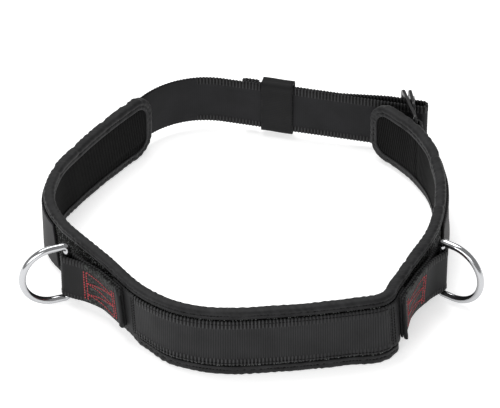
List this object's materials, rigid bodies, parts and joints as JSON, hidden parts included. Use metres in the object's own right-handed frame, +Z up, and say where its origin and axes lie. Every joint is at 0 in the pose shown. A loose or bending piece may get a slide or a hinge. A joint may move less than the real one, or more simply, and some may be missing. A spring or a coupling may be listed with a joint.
{
  "type": "padded work-positioning belt",
  "caption": "Padded work-positioning belt closed in a loop: foam back pad, hip D-rings in sewn webbing loops, webbing waist strap with a pass-through buckle and keeper.",
  "frame": {"origin": "centre of the bounding box, on the floor under the belt", "axes": "+Z up, +X to the wearer's right along the back pad, +Y towards the front strap and buckle"},
  "size_m": [0.3714, 0.3286, 0.06],
  "materials": {
    "foam": "closed-cell foam, matt",
    "mesh_cloth": "coarse woven mesh, matt",
    "lining_cloth": "ribbed knit, matt",
    "binding_tape": "smooth woven tape, soft sheen",
    "black_thread": "polyester thread",
    "black_webbing": "ribbed polyamide webbing, soft sheen",
    "strap_webbing": "ribbed polyamide webbing, soft sheen",
    "ring_webbing": "smooth polyamide webbing, soft sheen",
    "red_thread": "polyester thread",
    "ring_steel": "polished steel",
    "keeper_tape": "smooth elastic tape",
    "buckle_steel": "black coated steel, satin",
    "bar_steel": "black coated steel, satin"
  },
  "bodies": {
    "belt": {"foam_core": "foam", "outer_cover": "mesh_cloth", "inner_lining": "lining_cloth", "edge_binding": "binding_tape", "binding_thread": "black_thread", "back_webbing": "black_webbing", "back_webbing_thread": "black_thread", "left_ring_strap": "ring_webbing", "right_ring_strap": "ring_webbing", "left_ring_thread": "red_thread", "right_ring_thread": "red_thread", "waist_strap": "strap_webbing", "waist_strap_thread": "black_thread", "tail_thread": "black_thread", "anchor_webbing": "strap_webbing", "anchor_thread": "black_thread"},
    "left_ring": {"left_d_ring": "ring_steel"},
    "right_ring": {"right_d_ring": "ring_steel"},
    "keeper": {"keeper_band": "keeper_tape", "keeper_thread": "black_thread"},
    "frame_plate": {"buckle_frame": "buckle_steel"},
    "slide_plate": {"buckle_plate": "buckle_steel"},
    "slide_bar": {"buckle_bar": "bar_steel"}
  },
  "joints": [
    {"name": "left_ring_swing", "type": "hinge", "parent": "belt", "child": "left_ring", "pos_m": [-0.14822, -0.07087, 0.03], "axis": [0, 0, 1], "range_deg": [-72, 101]},
    {"name": "right_ring_swing", "type": "hinge", "parent": "belt", "child": "right_ring", "pos_m": [0.1502, -0.06492, 0.03], "axis": [0, 0, 1], "range_deg": [-70, 96]},
    {"name": "keeper_slide", "type": "slide", "parent": "belt", "child": "keeper", "axis": [0.9724, -0.2334, 0], "range_m": [-0.026, 0.045]},
    {"name": "frame_swing", "type": "hinge", "parent": "belt", "child": "frame_plate", "pos_m": [0.13539, 0.09797, 0.03], "axis": [0, 0, 1], "range_deg": [-3, 2]},
    {"name": "plate_tilt", "type": "hinge", "parent": "frame_plate", "child": "slide_plate", "pos_m": [0.13338, 0.12647, 0.03], "axis": [0, 0, 1], "range_deg": [-1.5, 6]},
    {"name": "bar_slide", "type": "slide", "parent": "slide_plate", "child": "slide_bar", "axis": [-0.1219, 0.9925, 0], "range_m": [-0.0005, 0.0005]}
  ]
}
